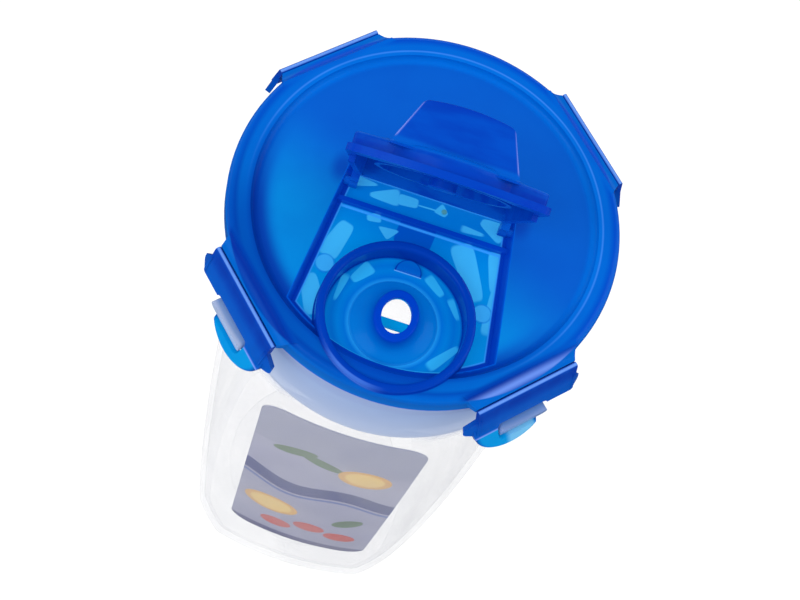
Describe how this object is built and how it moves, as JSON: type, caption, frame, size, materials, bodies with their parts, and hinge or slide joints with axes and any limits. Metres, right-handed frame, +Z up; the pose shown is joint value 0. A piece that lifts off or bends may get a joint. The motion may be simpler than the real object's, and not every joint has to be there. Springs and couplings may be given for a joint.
{
  "type": "sauce shaker",
  "caption": "Plastic sauce shaker: square-sided clear bottle, blue clip-on lid with hinged lock flaps, raised pour spout in a ring and a hinged flip cap",
  "frame": {"origin": "centre of the bottle's base, on the surface it stands on", "axes": "+Z up through the bottle; -Y to the front, where the spout and the label are; +X to the right seen from the front"},
  "size_m": [0.08, 0.08, 0.2344],
  "materials": {
    "clear_plastic": "translucent, finely frosted",
    "blue_plastic": "translucent blue, satin with polished areas",
    "seal_rubber": "soft white silicone",
    "printed_card": "printed card"
  },
  "bodies": {
    "bottle": {"bottle": "clear_plastic", "lid": "blue_plastic", "gasket": "seal_rubber", "label_card": "printed_card"},
    "flip_cap": {"flip_cap": "blue_plastic"},
    "lock_flap_front_left": {"lock_flap_front_left": "blue_plastic"},
    "lock_flap_front_right": {"lock_flap_front_right": "blue_plastic"},
    "lock_flap_rear_right": {"lock_flap_rear_right": "blue_plastic"},
    "lock_flap_rear_left": {"lock_flap_rear_left": "blue_plastic"}
  },
  "joints": [
    {"name": "flip_cap_hinge", "type": "hinge", "parent": "bottle", "child": "flip_cap", "pos_m": [0, 0.0022, 0.19065], "axis": [-1, 0, 0], "range_deg": [-67, 33]},
    {"name": "lock_flap_front_left_hinge", "type": "hinge", "parent": "bottle", "child": "lock_flap_front_left", "pos_m": [-0.02871, -0.02871, 0.19085], "axis": [-0.7071, 0.7071, 0], "range_deg": [0, 110]},
    {"name": "lock_flap_front_right_hinge", "type": "hinge", "parent": "bottle", "child": "lock_flap_front_right", "pos_m": [0.02871, -0.02871, 0.19085], "axis": [-0.7071, -0.7071, 0], "range_deg": [0, 110]},
    {"name": "lock_flap_rear_right_hinge", "type": "hinge", "parent": "bottle", "child": "lock_flap_rear_right", "pos_m": [0.02871, 0.02871, 0.19085], "axis": [0.7071, -0.7071, 0], "range_deg": [0, 110]},
    {"name": "lock_flap_rear_left_hinge", "type": "hinge", "parent": "bottle", "child": "lock_flap_rear_left", "pos_m": [-0.02871, 0.02871, 0.19085], "axis": [0.7071, 0.7071, 0], "range_deg": [0, 110]}
  ]
}
